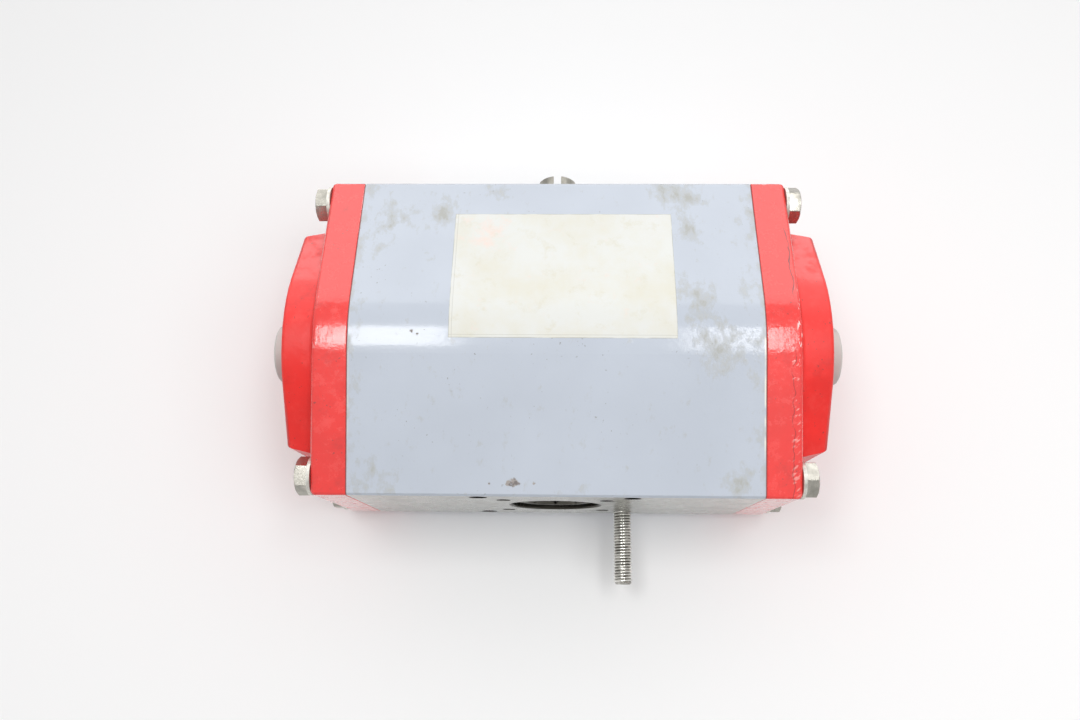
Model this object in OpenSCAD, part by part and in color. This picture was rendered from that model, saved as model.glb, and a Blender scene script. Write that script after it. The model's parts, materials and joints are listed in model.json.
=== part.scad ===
// Rack-and-pinion pneumatic actuator, quarter turn, double acting.
// It lies on its air connection face: X runs along the cylinder, Y runs along
// the drive shaft from the valve face to the top face, Z points up.
// The origin is the middle of the valve mounting face. Units are millimetres.

/* [Body] */
// Length of the body between its end faces
body_l = 193; // [180:1:230]
// Height of the body from the valve face to the top face
body_h = 157; // [150:1:175]
// Width of the valve face and of the top face
face_w = 85; // [80:1:92]
// Diameter of the cylinder bore
bore_d = 105; // [98:0.5:109]
// Wall of the body where its side bulges round the bore
ridge_wall = 7.9; // [6:0.1:12]
// Cut along the long corners of the body
corner_cut = 1; // [0.4:0.1:1.2]
// Width of the flat air connection land
land_w = 56; // [50:1:64]
// Height of the land above the bulge of the side
land_rise = 5.6; // [3:0.1:9]

/* [Valve face] */
// Bolt circle of the small flange pattern
small_pcd = 70; // [66:0.5:74]
// Tapping drill of the small pattern
small_drill = 6.8; // [5:0.1:7.5]
// Bolt circle of the large flange pattern
large_pcd = 102; // [98:0.5:106]
// Tapping drill of the large pattern
large_drill = 8.5; // [7.5:0.1:9]
// Depth of the tapped holes in the valve face
flange_depth = 17; // [12:0.5:20]
// Free length of the stud
stud_free_l = 38; // [20:1:60]

/* [Top face] */
// Spacing of the accessory holes along the body
top_hole_x = 80; // [70:1:100]
// Spacing of the accessory holes across the body
top_hole_z = 30; // [28:1:40]
// Tapping drill of the accessory holes
top_drill = 4.2; // [3.3:0.1:5]
// Depth of the accessory holes
top_hole_depth = 10; // [6:0.5:14]

/* [Air connection] */
// Distance between the two air ports
port_pitch = 24; // [22:0.5:28]
// Tapping drill of the air ports
port_drill = 11.8; // [8:0.1:12]
// Depth of the port threads
port_depth = 10; // [7:0.5:11]
// Spacing of the valve screws along the body
port_screw_x = 32; // [30:0.5:36]
// Spacing of the valve screws across the body
port_screw_y = 24; // [23:0.5:30]
// Tapping drill of the valve screws
port_screw_drill = 4.2; // [3.3:0.1:4.4]
// Diameter of the air drillings inside the wall
air_d = 4; // [2:0.5:4.5]

/* [End covers] */
// Thickness of the cover gasket
gasket_t = 0.5; // [0.3:0.1:2]
// Thickness of the cover flange
flange_t = 16.8; // [12:0.1:22]
// Rounding of the outer edge of the flange
flange_round = 2.2; // [1:0.1:4]
// Height of the dome above the flange
dome_h = 16.2; // [12:0.1:22]
// Distance of the dome's round edge inside the body's bulge
dome_inset = 7; // [6:0.2:12]
// Draft of the dome's sides in degrees
dome_draft = 2; // [0.5:0.5:5]
// Draft of the dome's tips in degrees
tip_draft = 13; // [5:1:20]
// Distance between the dome's tips and the washers
tip_clear = 1.9; // [1:0.1:4]
// Width of the dome's tips at its flat face
dome_tip_w = 59; // [50:1:62]
// Width of the dome's tips at the flange
dome_foot_w = 56; // [50:1:60]
// Rounding of the dome's edge
dome_round = 2; // [1:0.1:4]
// Wall of the dome
dome_wall = 6; // [4:0.5:8]
// Diameter of the end plug's head
plug_d = 30; // [28:0.5:40]
// Height of the end plug's head
plug_h = 15.5; // [8:0.5:20]
// Diameter of the end plug's spigot
plug_spigot_d = 20; // [16:0.5:24]
// Rounding of the end plug's edge
plug_round = 1.5; // [1:0.1:4]
// Width across flats of the key socket in the end plug
plug_key = 12; // [8:1:14]

/* [Fasteners] */
// Diameter of the cover bolts and of the stud
bolt_d = 10; // [9:0.5:11]
// Width across flats of the bolt heads
bolt_flats = 16; // [14:0.5:17]
// Height of the bolt heads
bolt_head_h = 5.9; // [5:0.1:8]
// Depth of the bolts in the body
bolt_grip = 22; // [14:1:30]
// Distance of the bolts from the valve face and the top face
bolt_edge = 9.4; // [8.6:0.1:11]
// Spacing of the bolts across the body
bolt_span = 72.6; // [68:0.2:75]
// Diameter of the washers
washer_d = 18; // [17.5:0.1:20]
// Thickness of the washers
washer_t = 1.6; // [1:0.1:3]

/* [Drive shaft] */
// Module of the pinion and the racks
gear_module = 2; // [1.5:0.05:2.1]
// Number of pinion teeth, an even number
gear_teeth = 20; // [18:2:20]
// Play between the teeth along the pitch line
gear_play = 0.3; // [0.2:0.05:0.5]
// Diameter of the shaft's lower journal
lower_journal_d = 40; // [36:0.5:41]
// Diameter of the shaft's upper journal
upper_journal_d = 30; // [24:0.5:31]
// Wall of the bearing bushes
bush_wall = 2.5; // [2.5:0.1:3.5]
// Size of the square drive socket
socket_af = 22; // [17:0.5:23]
// Depth of the square drive socket
socket_depth = 24; // [16:1:40]
// How far the shaft's end lies inside the valve face
shaft_sunk = 2; // [1:0.5:4]
// Height of the shaft's stub above the top face
stub_reach = 20; // [16:0.5:30]
// Diameter of the shaft's stub
stub_d = 20; // [16:0.5:22]
// Width of the slot in the stub
slot_w = 4; // [3:0.5:6]
// Depth of the slot in the stub
slot_depth = 6; // [3:0.5:8]
// Thickness of the thrust bearing
thrust_bearing_t = 2.6; // [1.5:0.1:3.5]
// Thickness of the thrust washer
thrust_washer_t = 1.4; // [1:0.1:2]
// Thickness of the retaining ring
ring_t = 1.5; // [1:0.1:2]

/* [Pistons] */
// Place of the pistons' inner faces when they are together
piston_in = 44; // [40:0.5:46]
// Thickness of the piston heads
piston_t = 18; // [16:0.5:20]
// Width of the racks along the shaft
rack_w = 44; // [30:1:50]
// Width of the piston's guide band
band_w = 6; // [4:0.5:7]
// Depth of the piston's grooves
groove_depth = 4; // [3:0.1:6]
// Length of the sliding pad behind the rack
pad_l = 20; // [12:1:24]
// Width of the sliding pad behind the rack
pad_w = 20; // [12:1:28]
// Thickness of the sliding pad
pad_t = 2.8; // [2:0.1:4]

/* [Fits] */
// Radial clearance of the journals in their bushes
journal_gap = 0.05; // [0.02:0.01:0.1]
// Radial clearance of seals, bands and pads in the bore
seal_gap = 0.12; // [0.08:0.01:0.2]
// Radial clearance of the piston in the bore
piston_gap = 0.4; // [0.3:0.05:0.6]
// Radial clearance of loose holes and threads
loose_gap = 0.05; // [0.03:0.01:0.1]
// Distance between pieces that pass each other
pass_gap = 0.35; // [0.3:0.05:0.6]

/* [Hidden] */
$fn = 72;
hull_fn = 48;
eps = 0.01;

// Body
axis_y = body_h / 2;
bore_r = bore_d / 2;
ridge_r = bore_r + ridge_wall;
side_lean = asin(ridge_r / norm([axis_y, face_w / 2])) - atan2(face_w / 2, axis_y);
end_x = body_l / 2;
land_z = ridge_r + land_rise;
face_wall = axis_y - bore_r;
stud_at = [1, -1] * large_pcd / 2 / sqrt(2);
stud_sink = 0.85;

// End covers, from the body's end outwards
cover_x = end_x + gasket_t;
flange_x = cover_x + flange_t;
dome_x = flange_x + dome_h;
dome_r = ridge_r - dome_inset;
dome_foot_tip = axis_y - bolt_edge - washer_d / 2 - tip_clear;
plug_x = dome_x + plug_h;
bolt_y = [bolt_edge, body_h - bolt_edge];
bolt_z = [-bolt_span / 2, bolt_span / 2];
left_bolt_turns = [0, 37, 22, 25];
right_bolt_turns = [12, 7, 50, 41];
bolt_hole_r = bolt_d / 2 + 0.5;
bolt_drill_r = 0.85 * bolt_d / 2;
bolt_core_r = bolt_drill_r - loose_gap;
bolt_hole_spare = 3;
gasket_inset = 0.3;
plug_lip = 2;
plug_key_depth = plug_h / 2;
plug_seal_t = 1.5;
plug_seal_r = plug_d / 2 - 2;

// Pinion and rack
pitch_r = gear_module * gear_teeth / 2;
tip_r = pitch_r + gear_module;
root_r = pitch_r - 1.25 * gear_module;
pressure_angle = 20;
base_r = pitch_r * cos(pressure_angle);
tooth_pitch = PI * gear_module;
flank_steps = 5;
rack_end = -piston_in + 2;
rack_teeth_in = -floor(PI * pitch_r / 2 / tooth_pitch + 1.5);
rack_teeth_out = 1;
rack_root_z = pitch_r + 1.25 * gear_module;

// Shaft, from the valve face upwards
lower_bush_r = lower_journal_d / 2 + bush_wall;
upper_bush_r = upper_journal_d / 2 + bush_wall;
collar_r = lower_bush_r - pass_gap;
gear_y0 = axis_y - sqrt(bore_r * bore_r - collar_r * collar_r) + pass_gap;
gear_y1 = axis_y + sqrt(bore_r * bore_r - tip_r * tip_r) - pass_gap;
seal_w = 3.4;
seal_sink = 0.7;
lower_bush_y0 = 2 * shaft_sunk;
lower_seal_y0 = face_wall - seal_w - 2.5;
collar_y0 = lower_seal_y0 + seal_w + pass_gap;
upper_seal_y0 = body_h - face_wall + 2.5;
lower_bush_y1 = lower_seal_y0 - 2 * journal_gap;
upper_bush_y0 = upper_seal_y0 + seal_w + 2 * journal_gap;
upper_bush_y1 = body_h - 1;
washer_y0 = body_h + thrust_bearing_t + journal_gap;
ring_y0 = washer_y0 + thrust_washer_t;
journal_top = ring_y0 + ring_t + 1.2;
ring_sink = 1.2;
ring_reach = 3.5;
stub_top = body_h + stub_reach;
shaft_chamfer = 0.8;

// Pistons
piston_r = bore_r - piston_gap;
seal_r = bore_r - seal_gap;
groove_r = piston_r - groove_depth;
land_gap = (piston_t - 2 * band_w) / 3;
seal_x0 = piston_in + land_gap;
band_x0 = seal_x0 + band_w + land_gap;
rack_back_r = piston_r - 1.2;
pad_x0 = rack_end + 6;
pad_floor_r = seal_r - pad_t;

// Air drillings: one runs along the wall, one joins it to the second port
air_ring_r = bore_r + ridge_wall / 2 + 0.3;
air_angle = 27;
air_at = [axis_y + air_ring_r * sin(air_angle), -air_ring_r * cos(air_angle)];

// Directions

// Draws a Y-Z outline as a bar from x0 to x1.
module along_x(x0, x1) {
    translate([x0, 0, 0])
        rotate([90, 0, 90])
            linear_extrude(x1 - x0)
                children();
}

// Draws an X-Z outline as a plate from y0 to y1.
module along_y(y0, y1) {
    translate([0, y1, 0])
        rotate([90, 0, 0])
            linear_extrude(y1 - y0)
                children();
}

// A round rod on the cylinder's axis, or beside it, from x0 to x1.
module rod_x(x0, x1, r, at = [axis_y, 0], r_end = undef) {
    translate([x0, at[0], at[1]])
        rotate([0, 90, 0])
            cylinder(h = x1 - x0, r1 = r, r2 = is_undef(r_end) ? r : r_end);
}

// A round rod along the shaft from y0 to y1.
module rod_y(y0, y1, r, at = [0, 0], r_end = undef) {
    translate([at[0], y0, at[1]])
        rotate([-90, 0, 0])
            cylinder(h = y1 - y0, r1 = r, r2 = is_undef(r_end) ? r : r_end);
}

// A round rod from the air connection land inwards.
module rod_z(z0, z1, r, at) {
    translate([at[0], at[1], z0])
        cylinder(h = z1 - z0, r = r);
}

// A ring on the cylinder's axis.
module ring_x(x0, x1, r_in, r_out) {
    difference() {
        rod_x(x0, x1, r_out);
        rod_x(x0 - 1, x1 + 1, r_in);
    }
}

// A ring on the shaft's axis.
module ring_y(y0, y1, r_in, r_out) {
    difference() {
        rod_y(y0, y1, r_out);
        rod_y(y0 - 1, y1 + 1, r_in);
    }
}

// Pieces of the left side are those of the right side, mirrored or half turned.
module left_mirrored() {
    mirror([1, 0, 0])
        children();
}

module left_turned() {
    rotate([0, 180, 0])
        children();
}

// Outline of the body

// One corner of the outline, from the valve face to where the side meets the bulge.
function corner_points(inset) =
    let (
        r = ridge_r - inset,
        half = face_w / 2 - inset * (1 - sin(side_lean)) / cos(side_lean)
    )
    [
        [inset, half - corner_cut],
        [inset + corner_cut * cos(side_lean), half + corner_cut * sin(side_lean)],
        [axis_y - r * sin(side_lean), r * cos(side_lean)]
    ];

function reversed(list) = [for (i = [len(list) - 1:-1:0]) list[i]];

// Flat valve and top faces and leaning sides, with a core that reaches into the bulges.
module side_outline(inset) {
    corner = corner_points(inset);
    ridge_core = [axis_y, (ridge_r - inset) * (1 + cos(side_lean)) / 2];
    side = concat(corner, [ridge_core], [for (p = reversed(corner)) [body_h - p[0], p[1]]]);
    polygon(concat(side, [for (p = reversed(side)) [p[0], -p[1]]]));
}

// The bulge of one side round the bore.
module ridge_outline(inset, s) {
    r = ridge_r - inset;
    intersection() {
        translate([axis_y, 0])
            circle(r);
        translate([axis_y, s * r * (1 + cos(side_lean))])
            square(2 * r, center = true);
    }
}

// A bar with the body's outline from x0 to x1.
module body_bar(x0, x1, inset = 0) {
    along_x(x0, x1)
        side_outline(inset);
    for (s = [-1, 1])
        along_x(x0, x1)
            ridge_outline(inset, s);
}

// Body

module flange_holes(pcd, drill) {
    for (sx = [-1, 1], sz = [-1, 1])
        rod_y(-1, flange_depth, drill / 2, at = [sx, sz] * pcd / 2 / sqrt(2));
}

// The stud's hole is countersunk so that the full thread stands clear of the face.
module stud_countersink() {
    drill_r = large_drill / 2;
    rod_y(-eps, stud_sink, drill_r + stud_sink, at = stud_at, r_end = drill_r);
}

module shaft_bores() {
    rod_y(-1, axis_y, lower_bush_r);
    rod_y(-eps, 1, lower_bush_r + 1, r_end = lower_bush_r);
    rod_y(axis_y, body_h + 1, upper_bush_r);
}

module cover_bolt_holes() {
    for (y = bolt_y, z = bolt_z)
        rod_x(end_x - bolt_grip - bolt_hole_spare, end_x + 1, bolt_drill_r, at = [y, z]);
}

module top_holes() {
    for (sx = [-1, 1], sz = [-1, 1])
        rod_y(body_h - top_hole_depth, body_h + 1, top_drill / 2,
            at = [sx * top_hole_x / 2, sz * top_hole_z / 2]);
}

module air_ports() {
    for (s = [-1, 1])
        rod_z(-land_z - 1, -land_z + port_depth, port_drill / 2, at = [s * port_pitch / 2, axis_y]);
    rod_z(-land_z, -bore_r + 2, air_d / 2, at = [-port_pitch / 2, axis_y]);
    for (sx = [-1, 1], sy = [-1, 1])
        rod_z(-land_z - 1, -land_z + port_depth, port_screw_drill / 2,
            at = [sx * port_screw_x / 2, axis_y + sy * port_screw_y / 2]);
}

// The second port feeds both end chambers through the wall of the body.
module air_drillings() {
    start = [axis_y, -land_z + port_depth / 2];
    run = air_at - start;
    rod_x(-end_x - 1, end_x + 1, air_d / 2, at = air_at);
    translate([port_pitch / 2, start[0], start[1]])
        rotate([-atan2(run[0], run[1]), 0, 0])
            cylinder(h = norm(run), d = air_d);
}

module housing() {
    color("#c3cad5")
        difference() {
            union() {
                body_bar(-end_x, end_x);
                translate([-end_x, axis_y - land_w / 2, -land_z])
                    cube([body_l, land_w, land_z - bore_r]);
            }
            rod_x(-end_x - 1, end_x + 1, bore_r);
            shaft_bores();
            flange_holes(small_pcd, small_drill);
            flange_holes(large_pcd, large_drill);
            stud_countersink();
            top_holes();
            air_ports();
            air_drillings();
            cover_bolt_holes();
            left_mirrored()
                cover_bolt_holes();
        }
}

// End covers

// The flange repeats the body's outline and is rounded at its outer edge.
module cover_flange() {
    hull() {
        body_bar(cover_x, cover_x + eps, $fn = hull_fn);
        for (turn = [0:30:90]) {
            x = flange_x - flange_round * (1 - sin(turn));
            body_bar(x - eps, x, flange_round * (1 - cos(turn)), $fn = hull_fn);
        }
    }
}

// One slice of the dome, shrunk by inset: a disc with two blunt tips.
module dome_slice(x, inset = 0) {
    drop = dome_x - x;
    rise = 1 - drop / dome_h;
    tip = dome_foot_tip - (x - flange_x) * tan(tip_draft) - inset;
    tip_w = dome_foot_w + rise * (dome_tip_w - dome_foot_w) - inset;
    along_x(x - eps, x)
        translate([axis_y, 0]) {
            circle(dome_r + drop * tan(dome_draft) - inset, $fn = hull_fn);
            square([2 * tip, tip_w], center = true);
        }
}

module cover_dome() {
    hull() {
        dome_slice(flange_x);
        for (turn = [0:30:90])
            dome_slice(dome_x - dome_round * (1 - sin(turn)), dome_round * (1 - cos(turn)));
    }
}

module end_cap() {
    color("#d8382f")
        difference() {
            union() {
                cover_flange();
                cover_dome();
            }
            rod_x(cover_x - 1, dome_x - dome_wall, bore_r, r_end = dome_r - dome_wall);
            rod_x(cover_x, dome_x + 1, plug_spigot_d / 2 + loose_gap);
            for (y = bolt_y, z = bolt_z)
                rod_x(cover_x - 1, flange_x + 1, bolt_hole_r, at = [y, z]);
            air_slot();
        }
}

// A slot in the inner face leads the air from the drilling to the end chamber.
module air_slot() {
    translate([cover_x, axis_y, 0])
        rotate([180 + air_angle, 0, 0])
            translate([-1, -air_d / 2, 0])
                cube([1 + air_d, air_d, air_ring_r + air_d / 2]);
}

module cap_gasket() {
    color("#2b2b2b")
        difference() {
            body_bar(end_x, cover_x, gasket_inset);
            rod_x(end_x - 1, cover_x + 1, bore_r);
            rod_x(end_x - 1, cover_x + 1, air_d / 2, at = air_at);
            for (y = bolt_y, z = bolt_z)
                rod_x(end_x - 1, cover_x + 1, bolt_hole_r, at = [y, z]);
        }
}

// Half outline of the plug: radius, then distance from the dome's face.
module plug_outline() {
    head_r = plug_d / 2;
    polygon(concat(
        [
            [0, -dome_wall - plug_lip],
            [plug_spigot_d / 2, -dome_wall - plug_lip],
            [plug_spigot_d / 2, plug_seal_t],
            [plug_seal_r, plug_seal_t],
            [plug_seal_r, 0],
            [head_r, 0]
        ],
        [
            for (turn = [0:15:90])
                [head_r - plug_round * (1 - cos(turn)), plug_h - plug_round * (1 - sin(turn))]
        ],
        [[0, plug_h]]
    ));
}

module end_plug() {
    color("#b4b4ac")
        difference() {
            translate([dome_x, axis_y, 0])
                rotate([0, 90, 0])
                    rotate_extrude()
                        plug_outline();
            translate([plug_x - plug_key_depth, axis_y, 0])
                rotate([0, 90, 0])
                    cylinder(h = plug_h, d = plug_key / cos(30), $fn = 6);
        }
}

module plug_seal() {
    color("#1c1c1c")
        ring_x(dome_x, dome_x + plug_seal_t, plug_spigot_d / 2, plug_seal_r);
}

module cap_washers() {
    color("#b9b7ae")
        for (y = bolt_y, z = bolt_z)
            translate([0, y - axis_y, z])
                ring_x(flange_x, flange_x + washer_t, bolt_hole_r, washer_d / 2);
}

// Hexagon head, shank and threaded end, which is drawn at its core diameter.
module cap_bolt(turn) {
    head_x = flange_x + washer_t;
    crown_r = 0.47 * bolt_flats;
    rod_x(end_x - bolt_grip, cover_x, bolt_core_r, at = [0, 0]);
    rod_x(cover_x, head_x, bolt_d / 2, at = [0, 0]);
    intersection() {
        translate([head_x, 0, 0])
            rotate([turn, 0, 0])
                rotate([0, 90, 0])
                    cylinder(h = bolt_head_h, d = bolt_flats / cos(30), $fn = 6);
        rod_x(head_x, head_x + bolt_head_h, crown_r + bolt_head_h / tan(30), at = [0, 0], r_end = crown_r);
    }
}

module cap_bolts(turns) {
    color("#c9c7bf")
        for (i = [0:1], j = [0:1])
            translate([0, bolt_y[i], bolt_z[j]])
                cap_bolt(turns[2 * i + j]);
}

// The stud stands in one hole of the large pattern, its inner thread drawn at core diameter.
module mounting_stud() {
    color("#a9a79f") {
        rod_y(-eps, flange_depth - 2, large_drill / 2 - loose_gap, at = stud_at);
        rod_y(-stud_free_l + 1, 0, bolt_d / 2, at = stud_at);
        rod_y(-stud_free_l, -stud_free_l + 1, bolt_d / 2 - 1, at = stud_at, r_end = bolt_d / 2);
    }
}

// Shaft bearings, fixed in the body

module lower_bearing_bush() {
    color("#e9e4d2")
        ring_y(lower_bush_y0, lower_bush_y1, lower_journal_d / 2 + journal_gap, lower_bush_r);
}

module upper_bearing_bush() {
    color("#e9e4d2")
        ring_y(upper_bush_y0, upper_bush_y1, upper_journal_d / 2 + journal_gap, upper_bush_r);
}

module thrust_bearing() {
    color("#e9e4d2")
        ring_y(body_h, body_h + thrust_bearing_t, upper_journal_d / 2 + journal_gap, upper_bush_r + 3);
}

// Drive shaft

// Half the angle of a tooth at radius r, by the involute of the base circle.
function involute_angle(r) = let (a = acos(min(1, base_r / r))) tan(a) * 180 / PI - a;

function tooth_half_angle(r) =
    (tooth_pitch - gear_play) / pitch_r / 4 * 180 / PI
    + involute_angle(pitch_r) - involute_angle(max(r, base_r));

function flank_radii() = concat(
    [root_r],
    [for (i = [0:flank_steps]) base_r + (tip_r - base_r) * i / flank_steps]
);

function on_circle(r, angle) = [r * sin(angle), r * cos(angle)];

module pinion_outline() {
    radii = flank_radii();
    polygon([
        for (i = [0:gear_teeth - 1])
            let (middle = i * 360 / gear_teeth)
                each concat(
                    [for (r = radii) on_circle(r, middle - tooth_half_angle(r))],
                    [for (r = reversed(radii)) on_circle(r, middle + tooth_half_angle(r))]
                )
    ]);
}

// Half outline of the shaft without teeth: radius, then height along the shaft.
module shaft_outline() {
    lower_r = lower_journal_d / 2;
    upper_r = upper_journal_d / 2;
    polygon([
        [0, shaft_sunk],
        [lower_r - shaft_chamfer, shaft_sunk],
        [lower_r, shaft_sunk + shaft_chamfer],
        [lower_r, lower_seal_y0],
        [lower_r - seal_sink, lower_seal_y0],
        [lower_r - seal_sink, lower_seal_y0 + seal_w],
        [lower_r, lower_seal_y0 + seal_w],
        [lower_r, collar_y0],
        [collar_r, collar_y0],
        [collar_r, gear_y0],
        [upper_r, gear_y0],
        [upper_r, upper_seal_y0],
        [upper_r - seal_sink, upper_seal_y0],
        [upper_r - seal_sink, upper_seal_y0 + seal_w],
        [upper_r, upper_seal_y0 + seal_w],
        [upper_r, ring_y0],
        [upper_r - ring_sink, ring_y0],
        [upper_r - ring_sink, ring_y0 + ring_t],
        [upper_r, ring_y0 + ring_t],
        [upper_r, journal_top - shaft_chamfer],
        [upper_r - shaft_chamfer, journal_top],
        [stub_d / 2, journal_top],
        [stub_d / 2, stub_top - shaft_chamfer],
        [stub_d / 2 - shaft_chamfer, stub_top],
        [0, stub_top]
    ]);
}

// Two squares an eighth of a turn apart, so the valve stem fits in either way.
module drive_socket() {
    for (turn = [0, 45])
        translate([0, shaft_sunk + socket_depth / 2, 0])
            rotate([0, turn, 0])
                cube([socket_af, socket_depth, socket_af], center = true);
    rod_y(shaft_sunk - 1, shaft_sunk + 1.5, socket_af / sqrt(2) + 1, r_end = socket_af / sqrt(2) - 1.5);
}

module pinion_shaft() {
    color("#a5a29a")
        difference() {
            union() {
                rotate([-90, 0, 0])
                    rotate_extrude()
                        shaft_outline();
                along_y(gear_y0, gear_y1)
                    pinion_outline();
            }
            drive_socket();
            translate([0, stub_top, 0])
                cube([slot_w, 2 * slot_depth, stub_d + 2], center = true);
            rod_y(stub_top - 16, stub_top + 1, 2.5);
        }
}

module shaft_ring(y0, r_in, r_out) {
    ring_y(y0, y0 + seal_w, r_in, r_out);
}

module lower_shaft_seal() {
    color("#1c1c1c")
        shaft_ring(lower_seal_y0, lower_journal_d / 2 - seal_sink, lower_bush_r - seal_gap);
}

module upper_shaft_seal() {
    color("#1c1c1c")
        shaft_ring(upper_seal_y0, upper_journal_d / 2 - seal_sink, upper_bush_r - seal_gap);
}

module thrust_washer() {
    color("#b9b7ae")
        ring_y(washer_y0, ring_y0, upper_journal_d / 2, upper_bush_r + 2.5);
}

// A sprung ring, open on one side, in its groove.
module retaining_ring() {
    color("#4c4c4a")
        difference() {
            ring_y(ring_y0, ring_y0 + ring_t, upper_journal_d / 2 - ring_sink,
                upper_journal_d / 2 - ring_sink + ring_reach);
            translate([upper_journal_d / 2, ring_y0, 0])
                cube([2 * ring_reach, 4 * ring_t, ring_reach * 2], center = true);
        }
}

// Pistons, drawn for the right side

function rack_tooth(middle) =
    let (
        half = (tooth_pitch - gear_play) / 4,
        lean = tan(pressure_angle)
    )
    [
        [middle - half - 1.25 * gear_module * lean, rack_root_z],
        [middle - half + gear_module * lean, pitch_r - gear_module],
        [middle + half - gear_module * lean, pitch_r - gear_module],
        [middle + half + 1.25 * gear_module * lean, rack_root_z]
    ];

// Side view of the rack arm: teeth below, a straight back above.
module rack_outline() {
    polygon(concat(
        [[rack_end, bore_r], [rack_end, rack_root_z]],
        [
            for (i = [rack_teeth_in:rack_teeth_out])
                each rack_tooth((i + 0.5) * tooth_pitch)
        ],
        [[piston_in + 1, rack_root_z], [piston_in + 1, bore_r]]
    ));
}

module rack_arm() {
    intersection() {
        along_y(axis_y - rack_w / 2, axis_y + rack_w / 2)
            rack_outline();
        rod_x(rack_end - 1, piston_in + 2, rack_back_r);
    }
}

// The pad's place in the back of the rack arm.
module pad_block() {
    translate([pad_x0, axis_y - pad_w / 2, 0])
        cube([pad_l, pad_w, bore_r]);
}

module piston_head() {
    difference() {
        rod_x(piston_in, piston_in + piston_t, piston_r);
        ring_x(seal_x0, seal_x0 + band_w, groove_r, bore_r + 1);
        ring_x(band_x0, band_x0 + band_w, groove_r, bore_r + 1);
    }
}

module piston() {
    color("#c6c8c8")
        difference() {
            union() {
                piston_head();
                rack_arm();
            }
            difference() {
                pad_block();
                rod_x(pad_x0 - 1, pad_x0 + pad_l + 1, pad_floor_r);
            }
        }
}

// A rubber ring, round in section, that fills the groove's depth.
module piston_seal() {
    thick = seal_r - groove_r;
    color("#1c1c1c")
        translate([seal_x0 + band_w / 2, axis_y, 0])
            rotate([0, 90, 0])
                rotate_extrude()
                    translate([groove_r + thick / 2, 0])
                        circle(d = thick);
}

module guide_band() {
    color("#e9e4d2")
        ring_x(band_x0, band_x0 + band_w, groove_r, seal_r);
}

module rack_pad() {
    color("#e9e4d2")
        intersection() {
            pad_block();
            ring_x(pad_x0, pad_x0 + pad_l, pad_floor_r, seal_r);
        }
}

housing();
left_mirrored() end_cap();  // left_end_cap
end_cap();  // right_end_cap
left_mirrored() cap_gasket();  // left_cap_gasket
cap_gasket();  // right_cap_gasket
left_mirrored() cap_bolts(left_bolt_turns);  // left_cap_bolts
cap_bolts(right_bolt_turns);  // right_cap_bolts
left_mirrored() cap_washers();  // left_cap_washers
cap_washers();  // right_cap_washers
left_mirrored() end_plug();  // left_end_plug
end_plug();  // right_end_plug
left_mirrored() plug_seal();  // left_plug_seal
plug_seal();  // right_plug_seal
mounting_stud();
lower_bearing_bush();
upper_bearing_bush();
thrust_bearing();
pinion_shaft();
lower_shaft_seal();
upper_shaft_seal();
thrust_washer();
retaining_ring();
left_turned() piston();  // left_piston
piston();  // right_piston
left_turned() piston_seal();  // left_piston_seal
piston_seal();  // right_piston_seal
left_turned() guide_band();  // left_guide_band
guide_band();  // right_guide_band
left_turned() rack_pad();  // left_rack_pad
rack_pad();  // right_rack_pad
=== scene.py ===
"""Dresses a quarter-turn air actuator: worn enamel, plated steel and a bare paper label, on a table."""

import json
import math

import bmesh
import bpy
from bpy.props import FloatProperty, FloatVectorProperty, IntProperty, PointerProperty
from mathutils import Euler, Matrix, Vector


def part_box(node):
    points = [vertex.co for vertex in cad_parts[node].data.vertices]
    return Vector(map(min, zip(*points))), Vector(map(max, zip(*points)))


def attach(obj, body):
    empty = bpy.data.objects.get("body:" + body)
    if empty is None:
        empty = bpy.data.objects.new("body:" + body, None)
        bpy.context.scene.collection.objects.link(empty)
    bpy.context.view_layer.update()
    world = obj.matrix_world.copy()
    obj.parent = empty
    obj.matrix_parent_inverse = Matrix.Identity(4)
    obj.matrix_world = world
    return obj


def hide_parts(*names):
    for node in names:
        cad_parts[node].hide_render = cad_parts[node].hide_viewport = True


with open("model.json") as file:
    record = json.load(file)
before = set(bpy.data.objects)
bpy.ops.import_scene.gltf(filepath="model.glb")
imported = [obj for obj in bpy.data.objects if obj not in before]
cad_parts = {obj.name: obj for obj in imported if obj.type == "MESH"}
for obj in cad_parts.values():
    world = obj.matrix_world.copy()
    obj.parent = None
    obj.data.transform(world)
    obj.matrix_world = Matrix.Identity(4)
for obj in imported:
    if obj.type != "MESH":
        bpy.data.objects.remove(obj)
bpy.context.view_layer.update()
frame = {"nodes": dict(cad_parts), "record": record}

bl_info = {
    "name": "Quarter-turn air actuator",
    "version": (1, 0, 0),
    "blender": (4, 5, 0),
    "location": "View3D > Sidebar > Actuator",
    "description": "Finishes the actuator's pieces and sets them on a white table",
    "category": "Object",
}

MM = 0.001

# Places of the construction, read from the frame
BODY_LOW, BODY_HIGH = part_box("housing")
END_X = BODY_HIGH.x
BODY_H = BODY_HIGH.y
AXIS_Y = BODY_H / 2
RIDGE_R = BODY_HIGH.z
COVER_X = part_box("right_end_cap")[0].x
FLANGE_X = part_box("right_cap_washers")[0].x
STUD_LOW, STUD_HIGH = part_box("mounting_stud")
STUD_AXIS = Vector(((STUD_LOW.x + STUD_HIGH.x) / 2, 0, (STUD_LOW.z + STUD_HIGH.z) / 2))

# Painted shade in the holes of the valve face: how deep it reaches, and its colour
SHADED_HOLE_DEPTH = 22 * MM
PAINTED_SHADE_COLOUR = "3a3833"


def linear(code):
    """Linear RGB of an sRGB hex colour such as c3cad5."""
    parts = [int(code[i:i + 2], 16) / 255 for i in (0, 2, 4)]
    return tuple(p / 12.92 if p <= 0.04045 else ((p + 0.055) / 1.055) ** 2.4 for p in parts)


def opaque(colour):
    return (*colour, 1.0)


def colour_property(name, code, description):
    return FloatVectorProperty(
        name=name, description=description, subtype="COLOR", size=3, min=0, max=1, default=linear(code)
    )


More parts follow.
